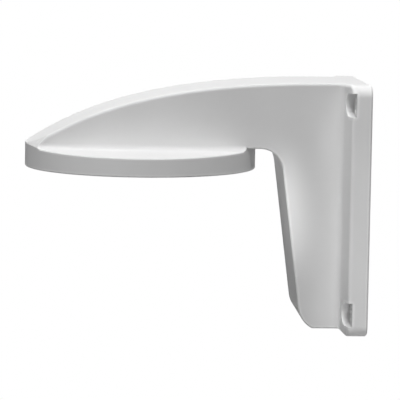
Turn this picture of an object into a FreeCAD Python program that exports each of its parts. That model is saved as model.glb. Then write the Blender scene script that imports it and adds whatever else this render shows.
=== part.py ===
"""Wall bracket for a small ceiling-type camera, moulded in one piece from white plastic.

Frame: the wall is the plane y = 0, the arm reaches out along -Y, +Z is up and the bracket is
symmetric about x = 0. The origin lies on the wall plane, midway between the four wall screws.
"""
import FreeCAD, Part
import os
from math import acos, asin, atan2, cos, degrees, pi, radians, sin, sqrt, tan

V = FreeCAD.Vector
ALONG_X = V(1, 0, 0)
ALONG_Y = V(0, 1, 0)
ALONG_Z = V(0, 0, 1)

# Round plate that the camera is screwed under
plate_radius = 61.0
plate_reach = 118.0
plate_top = 27.9
plate_fall = radians(2.3)
rim_height = 9.8
rim_bevel = 0.5

# Arm over the plate
arm_half_width = 26.3
side_draft = radians(0.5)
nose_rise = 2.9
nose_angle = radians(13.0)
nose_pull = 14.5
nose_slope = radians(68.0)
nose_tilt = radians(20.0)
crown_pull = 116.2
crown_rise = 37.25
crown_setback = 22.0
plate_cove = 2.8
edge_round = 1.6

# Arch between the plate and the leg, and the leg
arch_rise = 2.4
arch_radius = 12.2
arch_setback = 0.6
leg_foot = 21.2
leg_toe_round = 13.7
leg_toe_drop = 1.5
leg_bevel = 0.6

# Flange against the wall
flange_width = 88.0
flange_depth = 10.4
flange_over_screws = 10.15
flange_under_screws = 11.75
flange_below_leg = 2.2
flange_corner = 6.0
shoulder_depth = 2.8
shoulder_cove = 3.5
back_bevel = 0.8

# Wall screws and the open pockets that their heads sit in
screw_inset = 6.0
screw_up = 109.1
screw_hole = 6.2
screw_seat = 8.2
pocket_radius = 6.2
boss_wall = 2.4

# Bosses under the plate for the camera's own screws
camera_circle = 92.0
camera_screw_turn = radians(45.0)
camera_boss = 8.4
camera_pilot = 2.8
pilot_depth = 7.6

# Walls and ribs
wall = 3.0
rib = 2.0
rib_setback = 1.0
flange_rib_pitch = 27.0
web_pitch = 19.0

plate_y = -plate_reach
plate_front = plate_y - plate_radius
plate_back = plate_y + plate_radius
rim_bottom = plate_top - rim_height
arch_under = plate_top + arch_rise
flange_top = screw_up / 2 + flange_over_screws
flange_bottom = -screw_up / 2 - flange_under_screws
flange_half = flange_width / 2
leg_bottom = flange_bottom + flange_below_leg
screw_across = flange_width - 2 * screw_inset
shoulder_y = -flange_depth - shoulder_depth
cove_y = shoulder_y - shoulder_cove
camera_screws = [(camera_screw_turn + quarter * pi / 2, camera_circle / 2) for quarter in range(4)]

# Cutting bodies stand out by the margin, sweeps run over the span, and tiny tells edges apart
margin = 5.0
span = 4 * flange_width
tiny = 0.01


def half_width(y):
    """Half the width of arm and leg, which widen towards the wall by the mould's draft."""
    return arm_half_width + (y - plate_front) * tan(side_draft)


def roof_height(x):
    """Height of the plate's top, which falls from the arm to the rim on both sides."""
    return plate_top + (plate_radius - abs(x)) * tan(plate_fall)


def line(a, b):
    return Part.LineSegment(a, b).toShape()


def chain(points):
    """Straight edges from each point to the next."""
    return [line(a, b) for a, b in zip(points, points[1:])]


def arc_about(centre, radius, start, end, right, up):
    """Arc from angle start to angle end, counted from the direction right towards up."""
    def at(angle):
        return centre + right * (radius * cos(angle)) + up * (radius * sin(angle))
    return Part.Arc(at(start), at((start + end) / 2), at(end)).toShape()


def prism(edges, run):
    """Solid swept along the vector run by the face inside the edges."""
    return Part.Face(Part.Wire(edges)).extrude(run)


def block(x0, x1, y0, y1, z0, z1):
    return Part.makeBox(x1 - x0, y1 - y0, z1 - z0, V(x0, y0, z0))


def plate_cylinder(radius, z0, z1):
    return Part.makeCylinder(radius, z1 - z0, V(0, plate_y, z0))


def with_mirror(shape):
    """Shape and its mirror image on the other side of x = 0."""
    return shape.fuse(shape.mirror(V(0, 0, 0), ALONG_X))


def mirrored(point):
    return V(-point.x, point.y, point.z)


def middle(edge):
    first, last = edge.ParameterRange
    return edge.valueAt((first + last) / 2)


def picked(shape, wanted):
    """Edges of shape whose middle point and edge pass the test wanted."""
    return [edge for edge in shape.Edges if wanted(middle(edge), edge)]


def rim_foot(inset):
    """Lowest level of the arm over the plate: within the rim outside, below the rim inside."""
    return rim_bottom - margin if inset else rim_bottom + rim_height / 2


def side_region(inset, wall_end):
    """Side view of arm and leg, swept across the full width, its outline moved in by inset.

    The region runs back to y = wall_end. Over the plate it reaches down into the rim.
    """
    def at(y, z):
        return V(-span / 2, y, z)

    # The leg's front touches the arch on one side and the toe's rounding on the other
    arch_centre = at(plate_back + arch_setback, arch_under - arch_radius)
    toe_centre = at(-leg_foot, leg_bottom + leg_toe_round - leg_toe_drop)
    apart = toe_centre - arch_centre
    leg_lean = acos((arch_radius + leg_toe_round) / apart.Length) + atan2(apart.z, apart.y)
    leg_normal = V(0, cos(leg_lean), sin(leg_lean))
    arch_start = arch_centre + ALONG_Z * (arch_radius + inset)
    arch_end = arch_centre + leg_normal * (arch_radius + inset)
    toe_radius = leg_toe_round - inset
    toe_start = toe_centre - leg_normal * toe_radius
    bottom = leg_bottom + inset
    toe_angle = 1.5 * pi - acos((toe_centre.z - bottom) / toe_radius)
    toe_end = toe_centre + (ALONG_Y * cos(toe_angle) + ALONG_Z * sin(toe_angle)) * toe_radius

    nose = at(plate_front, plate_top + nose_rise - inset)
    nose_pole = nose + (ALONG_Y * cos(nose_angle) + ALONG_Z * sin(nose_angle)) * nose_pull
    crown = at(-crown_setback, plate_top + crown_rise - inset)
    top_line = Part.BezierCurve()
    top_line.setPoles([nose, nose_pole, crown - ALONG_Y * crown_pull, crown])

    fall = plate_top + crown_rise - flange_top
    fall_radius = (crown_setback ** 2 + fall ** 2) / (2 * fall)
    fall_centre = crown - ALONG_Z * fall_radius
    fall_angle = asin(crown_setback / fall_radius)
    wall_top = at(0, flange_top - inset)
    if wall_end > 0:
        back = [wall_top, at(wall_end, wall_top.z), at(wall_end, bottom), toe_end]
    else:
        # The flange's underside runs on below the shoulder until shoulder_cut trims it
        back = [wall_top, at(0, flange_bottom), at(cove_y - shoulder_depth, flange_bottom),
                at(cove_y - shoulder_depth, bottom), toe_end]

    foot = rim_foot(inset)
    front = [arch_start, at(plate_y, arch_start.z), at(plate_y, foot), at(plate_front, foot), nose]

    edges = [top_line.toShape(),
             arc_about(fall_centre, fall_radius, pi / 2, pi / 2 - fall_angle, ALONG_Y, ALONG_Z)]
    edges += chain(back)
    edges += [arc_about(toe_centre, toe_radius, toe_angle, pi + leg_lean, ALONG_Y, ALONG_Z),
              line(toe_start, arch_end),
              arc_about(arch_centre, arch_radius + inset, leg_lean, pi / 2, ALONG_Y, ALONG_Z)]
    edges += chain(front)
    return prism(edges, ALONG_X * span)


def plan_region(inset, wall_end):
    """Top view of arm and leg between their side walls, with the round nose, moved in by inset.

    The outside, with no inset, widens at the shoulder to the flange.
    """
    slope = tan(side_draft)
    radius = plate_radius - inset
    across = half_width(plate_y) - inset
    # Where the side line meets the nose arc
    a = 1 + slope ** 2
    b = across * slope
    reach = (-b - sqrt(b ** 2 - a * (across ** 2 - radius ** 2))) / a
    nose_corner = V(across + reach * slope, plate_y + reach, -span / 2)
    nose_tip = V(0, plate_y - radius, -span / 2)

    start = V(0, 0, -span / 2)
    if inset:
        end = start + V(half_width(wall_end) - inset, wall_end, 0)
        side = [line(nose_corner, end)]
    else:
        foot = start + V(half_width(shoulder_y), shoulder_y, 0)
        edge = start + V(flange_half, -flange_depth, 0)
        end = start + V(flange_half, wall_end, 0)
        to_arm = V(-slope, -1, 0).normalize()
        to_edge = (edge - foot).normalize()
        half_angle = to_arm.getAngle(to_edge) / 2
        bisector = (to_arm + to_edge).normalize()
        cove_start = foot + to_arm * (shoulder_cove / tan(half_angle))
        cove_middle = foot + bisector * (shoulder_cove / sin(half_angle) - shoulder_cove)
        cove_end = foot + to_edge * (shoulder_cove / tan(half_angle))
        side = [line(nose_corner, cove_start),
                Part.Arc(cove_start, cove_middle, cove_end).toShape()]
        side += chain([cove_end, edge, end])

    flipped = [part.mirror(V(0, 0, 0), ALONG_X) for part in side]
    ends = [Part.Arc(mirrored(nose_corner), nose_tip, nose_corner).toShape(),
            line(end, mirrored(end))]
    return prism(Part.sortEdges(side + flipped + ends)[0], ALONG_Z * span)


def arm_and_leg(inset, wall_end):
    """Arm and leg as one solid, or the room inside them where inset is the wall thickness."""
    plan = plan_region(inset, wall_end)
    body = side_region(inset, wall_end).common(plan)
    # Under the arm the back of the plate stands on the round rim
    low = rim_foot(inset)
    high = arch_under + inset
    back_half = block(-plate_radius, plate_radius, plate_y, 0, low, high)
    back = plate_cylinder(plate_radius - inset, low, high).common(back_half)
    return body.fuse(back.common(plan))


def plate_solid(inset):
    """Round plate with its gently falling top, or the room under that top."""
    low = rim_bottom - (margin if inset else 0)
    edge_height = roof_height(plate_radius) - inset
    outline = [V(x, plate_front, z) for x, z in [(-plate_radius, low), (plate_radius, low),
                                                 (plate_radius, edge_height),
                                                 (0, roof_height(0) - inset),
                                                 (-plate_radius, edge_height),
                                                 (-plate_radius, low)]]
    roof = prism(chain(outline), ALONG_Y * 2 * plate_radius)
    return roof.common(plate_cylinder(plate_radius - inset, low, arch_under))


def nose_cut():
    """What lies outside the cone that bevels the arm's nose down to the rim of the plate.

    The cone stands on a circle through the nose's tip, which sinks towards the wall.
    """
    axis = V(0, sin(nose_tilt), cos(nose_tilt))
    foot = V(0, plate_y, plate_top + nose_rise - plate_radius * tan(nose_tilt))
    radius = plate_radius / cos(nose_tilt)
    below = 2 * rim_height
    above = 2 * crown_rise
    cone = Part.makeCone(radius + below / tan(nose_slope), radius - above / tan(nose_slope),
                         below + above, foot - axis * below, axis)
    front = block(-plate_radius, plate_radius, plate_front - margin, plate_y,
                  rim_bottom, plate_top + crown_rise + margin)
    return front.cut(cone)


def plate_coves():
    """Concave rounding where the arm's sides stand on the plate's falling top."""
    x = half_width(plate_front)
    centre = V(x + plate_cove, plate_front,
               roof_height(x + plate_cove) + plate_cove / cos(plate_fall))
    foot = centre - V(sin(plate_fall), 0, cos(plate_fall)) * plate_cove
    corner = centre - ALONG_X * 2 * plate_cove
    sunk = foot - ALONG_Z * plate_cove
    edges = [arc_about(centre, plate_cove, pi, 1.5 * pi - plate_fall, ALONG_X, ALONG_Z)]
    edges += chain([foot, sunk, V(corner.x, sunk.y, sunk.z), corner,
                    centre - ALONG_X * plate_cove])
    length = 2 * plate_radius
    coves = with_mirror(prism(edges, V(length * tan(side_draft), length, 0)))
    coves = coves.common(plate_cylinder(plate_radius, rim_foot(0), flange_top))
    behind = block(-plate_radius, plate_radius, plate_y, plate_back, rim_foot(0), flange_top)
    return coves.common(side_region(0, 0).fuse(behind)).cut(nose_cut())


def rim_cone(level, inwards):
    """Cone that bevels the rim at the point level on the plate's axis, its sides at 45 degrees."""
    edge_radius = plate_radius - rim_bevel
    depth = 2 * rim_height
    return Part.makeCone(edge_radius - margin, edge_radius + depth, margin + depth,
                         level - inwards * margin, inwards)


def outer_plate():
    """Plate as a solid disc, the edges of its rim bevelled."""
    plate = plate_solid(0).removeSplitter()
    plate = plate.common(rim_cone(V(0, plate_y, rim_bottom), ALONG_Z))
    for side in (1, -1):
        into_plate = V(-side * sin(plate_fall), 0, -cos(plate_fall))
        plate = plate.common(rim_cone(V(0, plate_y, roof_height(0)), into_plate))
    return plate


def shoulder_cut():
    """What lies below the leg and below the slope from the leg's foot to the flange."""
    front = cove_y - 2 * shoulder_depth
    low = flange_bottom - margin
    outline = [V(-span / 2, y, z) for y, z in [(front, leg_bottom), (shoulder_y, leg_bottom),
                                               (-flange_depth, flange_bottom),
                                               (-flange_depth, low), (front, low),
                                               (front, leg_bottom)]]
    return prism(chain(outline), ALONG_X * span)


def outer_arm():
    """Arm, leg and flange without their hollows, their edges rounded and bevelled."""
    def flange_corner_edge(point, edge):
        return (flange_half - abs(point.x) < tiny and -flange_depth < point.y < -tiny
                and edge.BoundBox.ZLength < flange_depth)

    def side_edge(point):
        return abs(abs(point.x) - half_width(point.y)) < tiny

    def arm_top_edge(point, edge):
        return side_edge(point) and point.z > arch_under + tiny

    def leg_edge(point, edge):
        return (side_edge(point) and point.z < arch_under
                and plate_back < point.y < cove_y)

    def back_edge(point, edge):
        return abs(point.y) < tiny and edge.BoundBox.YLength < tiny

    body = arm_and_leg(0, 0).removeSplitter()
    body = body.makeFillet(flange_corner, picked(body, flange_corner_edge))
    # From the arm this rounding runs on over the shoulder and round the flange's front edge.
    # There it must stay within the strip of flange below the leg
    top_round = min(edge_round, 0.9 * flange_below_leg)
    body = body.makeFillet(top_round, picked(body, arm_top_edge))
    body = body.cut([shoulder_cut(), nose_cut()])
    body = body.makeChamfer(leg_bevel, picked(body, leg_edge))
    return body.makeChamfer(back_bevel, picked(body, back_edge))


def arm_hollow():
    """Room in arm and leg, open to the wall and below the plate, less the leg's level webs."""
    hollow = arm_and_leg(wall, margin)
    for count in (1, 2):
        level = leg_bottom + count * web_pitch
        hollow = hollow.cut(block(-flange_half, flange_half, plate_back, -rib_setback,
                                  level - rib / 2, level + rib / 2))
    return hollow


def plate_hollows():
    """Room under the plate beside the arm, less the camera bosses and their gussets."""
    hollow = plate_solid(wall).cut(plan_region(0, 0))
    for angle, radius in camera_screws:
        boss = Part.makeCylinder(camera_boss / 2, arch_under - rim_bottom, V(radius, 0, rim_bottom))
        gusset = block(radius, plate_radius, -rib / 2, rib / 2, rim_bottom + rib_setback, arch_under)
        kept = boss.fuse(gusset)
        kept.rotate(V(0, 0, 0), ALONG_Z, degrees(angle))
        kept.translate(ALONG_Y * plate_y)
        hollow = hollow.cut(kept)
    return hollow


def flange_hollows():
    """Room behind the flange beside the leg, less the screw bosses and the level ribs."""
    front = wall - flange_depth
    room = block(half_width(0), flange_half - wall, front, margin,
                 flange_bottom + wall, flange_top - wall)
    for count in (-1, 0, 1):
        level = count * flange_rib_pitch
        room = room.cut(block(0, flange_half, front, -rib_setback, level - rib / 2, level + rib / 2))
    for level in (-screw_up / 2, screw_up / 2):
        boss = V(screw_across / 2, -flange_depth, level)
        room = room.cut(Part.makeCylinder(pocket_radius + boss_wall, flange_depth, boss, ALONG_Y))
    return with_mirror(room)


def wall_screw_cuts():
    """Pockets for the screw heads, open to the flange's side, and the holes through their seats."""
    depth = flange_depth + shoulder_depth + margin
    cuts = []
    for level in (-screw_up / 2, screw_up / 2):
        seat = V(screw_across / 2, -screw_seat, level)
        pocket = Part.makeCylinder(pocket_radius, depth, seat, -ALONG_Y)
        way_out = block(seat.x, flange_half + margin, seat.y - depth, seat.y,
                        level - pocket_radius, level + pocket_radius)
        hole = Part.makeCylinder(screw_hole / 2, depth, V(seat.x, margin, level), -ALONG_Y)
        cuts.append(with_mirror(pocket.fuse(way_out).fuse(hole)))
    return cuts


def camera_pilots():
    """Blind holes in the plate's bosses for the camera's screws."""
    pilots = []
    for angle, radius in camera_screws:
        foot = V(radius * cos(angle), plate_y + radius * sin(angle), rim_bottom - margin)
        pilots.append(Part.makeCylinder(camera_pilot / 2, margin + pilot_depth, foot))
    return pilots


def bracket_body():
    body = outer_arm().fuse([outer_plate(), plate_coves()]).removeSplitter()
    return body.cut([arm_hollow(), plate_hollows(), flange_hollows()]
                    + wall_screw_cuts() + camera_pilots())


os.makedirs("parts", exist_ok=True)
bracket_body().exportStep("parts/bracket_body.step")
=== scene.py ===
"""Looks of the camera wall bracket: white moulded plastic in a plain, pale studio.

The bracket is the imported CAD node, shown as it is with a procedural plastic finish. It hangs in
the row frame, in metres: the wall is y = 0, the arm reaches out along -Y and +Z is up.
"""

from math import atan, pi, radians

import bpy
from mathutils import Matrix, Vector


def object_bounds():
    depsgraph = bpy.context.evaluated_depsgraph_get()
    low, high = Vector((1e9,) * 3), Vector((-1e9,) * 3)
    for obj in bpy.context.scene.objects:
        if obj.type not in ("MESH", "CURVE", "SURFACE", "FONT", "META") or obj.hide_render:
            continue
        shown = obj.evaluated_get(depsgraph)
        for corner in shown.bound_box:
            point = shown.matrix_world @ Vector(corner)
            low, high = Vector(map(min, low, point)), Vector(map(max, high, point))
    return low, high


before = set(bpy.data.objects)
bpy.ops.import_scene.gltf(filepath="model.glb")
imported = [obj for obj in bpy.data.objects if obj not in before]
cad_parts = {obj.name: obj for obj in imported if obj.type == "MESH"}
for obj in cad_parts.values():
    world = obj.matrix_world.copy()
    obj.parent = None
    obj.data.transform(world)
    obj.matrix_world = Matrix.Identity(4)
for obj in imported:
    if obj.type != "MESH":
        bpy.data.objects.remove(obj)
cad_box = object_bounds()
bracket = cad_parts["bracket_body"]
middle = (cad_box[0] + cad_box[1]) / 2

# Camera, fitted to the edges of the photo
camera_place = Vector((1.3126, -0.1639, 0.1482))
camera_turn = radians(86.595)
camera_fall = radians(6.423)
camera_roll = radians(0.942)
lens_mm = 223.6
sensor_mm = 36.0
nearest_seen = 0.01
farthest_seen = 100.0

# White plastic, which varies a little between white and shade over patches of the shade size
plastic_white = (0.87, 0.87, 0.87, 1)
plastic_shade = (0.85, 0.85, 0.85, 1)
shade_size = 0.03
plastic_roughness = 0.6

# Thin coat of gloss, uneven over patches of the gloss size
plastic_gloss = 0.3
gloss_roughness = (0.44, 0.56)
gloss_size = 0.008

# Spark-eroded surface of the mould: fine grain and pits over a faint waviness
grain_size = 0.0006
grain_depth = 0.000012
pit_size = 0.0011
pit_depth = 0.000008
wave_size = 0.02
wave_depth = 0.00006

# Soft edges and shallow corners, with a painted highlight on convex edges and painted shade in
# recesses. An edge is plain where its openness is at the first value and has the full painted
# highlight at the second, and a recess has the full painted shade at the first and is plain at
# the second
edge_radius = 0.0003
# Painted highlight on convex edges: the colour they are lightened towards
painted_edge_highlight = (0.97, 0.97, 0.97, 1)
highlight_band = 0.0019
highlight_openness = (0.98, 0.75)
# Painted shade in recesses: the colour they are darkened towards
painted_recess_shade = (0.66, 0.66, 0.66, 1)
recess_shade_depth = 0.005
recess_shade_openness = (0.2, 0.9)

# Most values of a noise texture lie in this range
noise_range = (0.3, 0.7)
noise_detail = 2.0

# White surround, and a floor well below the bracket, which fades into it between the two shares
# of the floor's radius
surround_white = (1, 1, 1, 1)
floor_drop = 0.35
floor_radius = 1.1
floor_sides = 96
floor_fade = (0.35, 0.98)
floor_white = (0.5, 0.5, 0.5, 1)
floor_glow = 0.6

# Soft round lights that face the bracket: direction from its middle, distance, size and power.
# The low one is nearer, because it has to stay above the floor
lights = {
    "top": ((0.0, 0.0, 1.0), 1.5, 0.4, 5.8),
    "top_near": ((0.6, 0.0, 0.8), 1.5, 0.4, 10.3),
    "top_far": ((-0.6, 0.0, 0.8), 1.5, 0.4, 2.0),
    "top_out": ((0.0, -0.6, 0.8), 1.5, 0.4, 4.0),
    "near_out": ((0.7, -0.5, 0.5), 1.5, 0.4, 1.9),
    "near_wall": ((0.8, 0.6, 0.0), 1.5, 0.4, 0.75),
    "low_out": ((0.6, -0.5, -0.6), 0.5, 0.2, 0.14),
    "far_wall": ((-0.7, 0.7, 0.0), 1.5, 0.4, 9.0),
}

# Soft spots that lift one place: aim, direction and distance from it, width and height of the
# pool of light, how far its top leans away from the wall, and power
spot_softness = 0.01
spots = {
    "leg_edge": ((0.0263, -0.0425, -0.002), (1.0, -0.2, 0.05), 1.0, 0.024, 0.080, 0.13, 14.0),
    "leg": ((0.0263, -0.058, 0.004), (1.0, -0.1, 0.02), 1.0, 0.077, 0.077, 0.0, 2.9),
    "flange_foot": ((0.044, -0.003, -0.040), (1.0, 0.1, -0.1), 1.0, 0.053, 0.227, 0.0, 6.1),
    "flange_top": ((0.0405, -0.004, 0.0645), (0.6, 0.3, 1.0), 1.0, 0.032, 0.017, 0.0, 9.5),
}


class Graph:
    """Adds nodes to a material's or world's tree and links them."""

    def __init__(self, owner):
        owner.use_nodes = True
        self.tree = owner.node_tree
        self.tree.nodes.clear()

    def add(self, kind, **inputs):
        """Node of that kind. Each input is a value or another node's output socket."""
        node = self.tree.nodes.new(kind)
        for name, value in inputs.items():
            self.feed(node.inputs[name.replace("_", " ")], value)
        return node

    def feed(self, socket, value):
        if isinstance(value, bpy.types.NodeSocket):
            self.tree.links.new(value, socket)
        else:
            socket.default_value = value

    def math(self, operation, *values):
        node = self.tree.nodes.new("ShaderNodeMath")
        node.operation = operation
        for socket, value in zip(node.inputs, values):
            self.feed(socket, value)
        return node.outputs[0]

    def mix(self, share, first, second):
        """Shader that goes from first to second as the share goes from 0 to 1."""
        node = self.add("ShaderNodeMixShader", Fac=share)
        self.feed(node.inputs[1], first)
        self.feed(node.inputs[2], second)
        return node.outputs[0]

    def seen(self):
        """One for rays that show the surroundings: straight, in reflections and through glass."""
        rays = self.add("ShaderNodeLightPath").outputs
        mirrored = self.math("MAXIMUM", rays["Is Glossy Ray"], rays["Is Transmission Ray"])
        return self.math("MAXIMUM", rays["Is Camera Ray"], mirrored)


def plastic_material():
    material = bpy.data.materials.new("bracket_white")
    graph = Graph(material)
    place = graph.add("ShaderNodeTexCoord").outputs["Object"]

    def noise(size):
        return graph.add("ShaderNodeTexNoise", Vector=place, Scale=1 / size,
                         Detail=noise_detail).outputs["Fac"]

    def ramp(value, start, end, low=0.0, high=1.0):
        """Value that goes from low to high as the given one goes from start to end."""
        return graph.add("ShaderNodeMapRange", Value=value, From_Min=start, From_Max=end,
                         To_Min=low, To_Max=high).outputs["Result"]

    def blend(share, first, second):
        """Colour that goes from first to second as the share goes from 0 to 1."""
        return graph.add("ShaderNodeMixRGB", Fac=share, Color1=first,
                         Color2=second).outputs["Color"]

    def openness(distance, inside):
        """Share of open directions up to that distance, outside the surface or inside it."""
        node = graph.add("ShaderNodeAmbientOcclusion", Distance=distance)
        node.inside = inside
        return node.outputs["AO"]

    def bumped(height, depth, normal):
        return graph.add("ShaderNodeBump", Height=height, Distance=depth,
                         Normal=normal).outputs["Normal"]

    # Painted highlight and painted shade: convex edges are painted a little lighter, and recesses
    # are painted a little darker
    shaded = blend(ramp(noise(shade_size), *noise_range), plastic_white, plastic_shade)
    # Painted highlight: lighter colour on convex edges
    highlighted = blend(ramp(openness(highlight_band, True), *highlight_openness), shaded, painted_edge_highlight)
    # Painted shade: darker colour in recesses
    colour = blend(ramp(openness(recess_shade_depth, False), *recess_shade_openness), painted_recess_shade, highlighted)

    pits = graph.add("ShaderNodeTexVoronoi", Vector=place, Scale=1 / pit_size)
    normal = graph.add("ShaderNodeBevel", Radius=edge_radius).outputs["Normal"]
    normal = bumped(noise(wave_size), wave_depth, normal)
    normal = bumped(pits.outputs["Distance"], pit_depth, normal)
    normal = bumped(noise(grain_size), grain_depth, normal)
    coat_roughness = ramp(noise(gloss_size), *noise_range, *gloss_roughness)
    shader = graph.add("ShaderNodeBsdfPrincipled", Base_Color=colour,
                       Roughness=plastic_roughness, Specular_IOR_Level=0.0, Normal=normal,
                       Coat_Weight=plastic_gloss, Coat_Roughness=coat_roughness,
                       Coat_Normal=normal)
    graph.add("ShaderNodeOutputMaterial", Surface=shader.outputs["BSDF"])
    return material


def floor_material():
    """Pale matt floor that takes the shadow, fades out at its edge and is clear from below."""
    material = bpy.data.materials.new("floor")
    graph = Graph(material)
    place = graph.add("ShaderNodeTexCoord").outputs["Object"]
    out = graph.add("ShaderNodeVectorMath", Vector=place)
    out.operation = "LENGTH"
    fade = graph.add("ShaderNodeMapRange", Value=out.outputs["Value"],
                     From_Min=floor_fade[0] * floor_radius, From_Max=floor_fade[1] * floor_radius)
    fade.interpolation_type = "SMOOTHSTEP"
    matt = graph.add("ShaderNodeBsdfDiffuse", Color=floor_white)
    glow = graph.add("ShaderNodeEmission",
                     Strength=graph.math("MULTIPLY", graph.seen(), floor_glow))
    lit = graph.add("ShaderNodeAddShader")
    graph.feed(lit.inputs[0], matt.outputs[0])
    graph.feed(lit.inputs[1], glow.outputs[0])
    clear = graph.add("ShaderNodeBsdfTransparent")
    below = graph.add("ShaderNodeNewGeometry").outputs["Backfacing"]
    absent = graph.math("MAXIMUM", fade.outputs["Result"], below)
    surface = graph.mix(absent, lit.outputs[0], clear.outputs[0])
    graph.add("ShaderNodeOutputMaterial", Surface=surface)
    return material


def pale_floor():
    centre = (middle.x, middle.y, cad_box[0].z - floor_drop)
    bpy.ops.mesh.primitive_circle_add(vertices=floor_sides, radius=floor_radius,
                                      fill_type="NGON", location=centre)
    floor = bpy.context.object
    floor.name = "floor"
    floor.data.materials.append(floor_material())


def soft_light(name, direction, distance, size, watts):
    data = bpy.data.lights.new(name, "AREA")
    data.shape = "DISK"
    data.size = size
    data.energy = watts
    light = bpy.data.objects.new(name, data)
    away = Vector(direction).normalized()
    light.location = middle + distance * away
    light.rotation_euler = away.to_track_quat("Z", "Y").to_euler()
    bpy.context.scene.collection.objects.link(light)


def soft_spot(name, aim, direction, distance, width, height, lean, watts):
    """Spot whose light fades from the aim to the edge of an ellipse of that width and height."""
    data = bpy.data.lights.new(name, "SPOT")
    data.spot_size = 2 * atan(height / 2 / distance)
    data.spot_blend = 1.0
    data.shadow_soft_size = spot_softness
    data.energy = watts
    light = bpy.data.objects.new(name, data)
    away = Vector(direction).normalized()
    upright = Vector((0.0, -lean, 1.0))
    upright = (upright - away * upright.dot(away)).normalized()
    turn = Matrix((upright.cross(away), upright, away)).transposed().to_4x4()
    light.matrix_world = (Matrix.Translation(Vector(aim) + distance * away) @ turn
                          @ Matrix.Diagonal((width / height, 1, 1, 1)))
    bpy.context.scene.collection.objects.link(light)


def white_world():
    """Surround that the camera and reflections see as white, and that lights nothing else."""
    world = bpy.data.worlds.new("studio")
    graph = Graph(world)
    white = graph.add("ShaderNodeBackground", Color=surround_white, Strength=graph.seen())
    graph.add("ShaderNodeOutputWorld", Surface=white.outputs[0])
    bpy.context.scene.world = world


def photo_camera():
    camera = bpy.data.objects.new("camera", bpy.data.cameras.new("camera"))
    camera.data.sensor_width = sensor_mm
    camera.data.lens = lens_mm
    camera.data.clip_start = nearest_seen
    camera.data.clip_end = farthest_seen
    turn = (Matrix.Rotation(camera_turn, 4, "Z") @ Matrix.Rotation(pi / 2 - camera_fall, 4, "X")
            @ Matrix.Rotation(camera_roll, 4, "Z"))
    camera.matrix_world = Matrix.Translation(camera_place) @ turn
    bpy.context.scene.collection.objects.link(camera)
    bpy.context.scene.camera = camera


bracket.data.materials.clear()
bracket.data.materials.append(plastic_material())
pale_floor()
photo_camera()
white_world()
for name, (direction, distance, size, watts) in lights.items():
    soft_light(name, direction, distance, size, watts)
for name, settings in spots.items():
    soft_spot(name, *settings)

bpy.context.scene.view_settings.view_transform = "Standard"
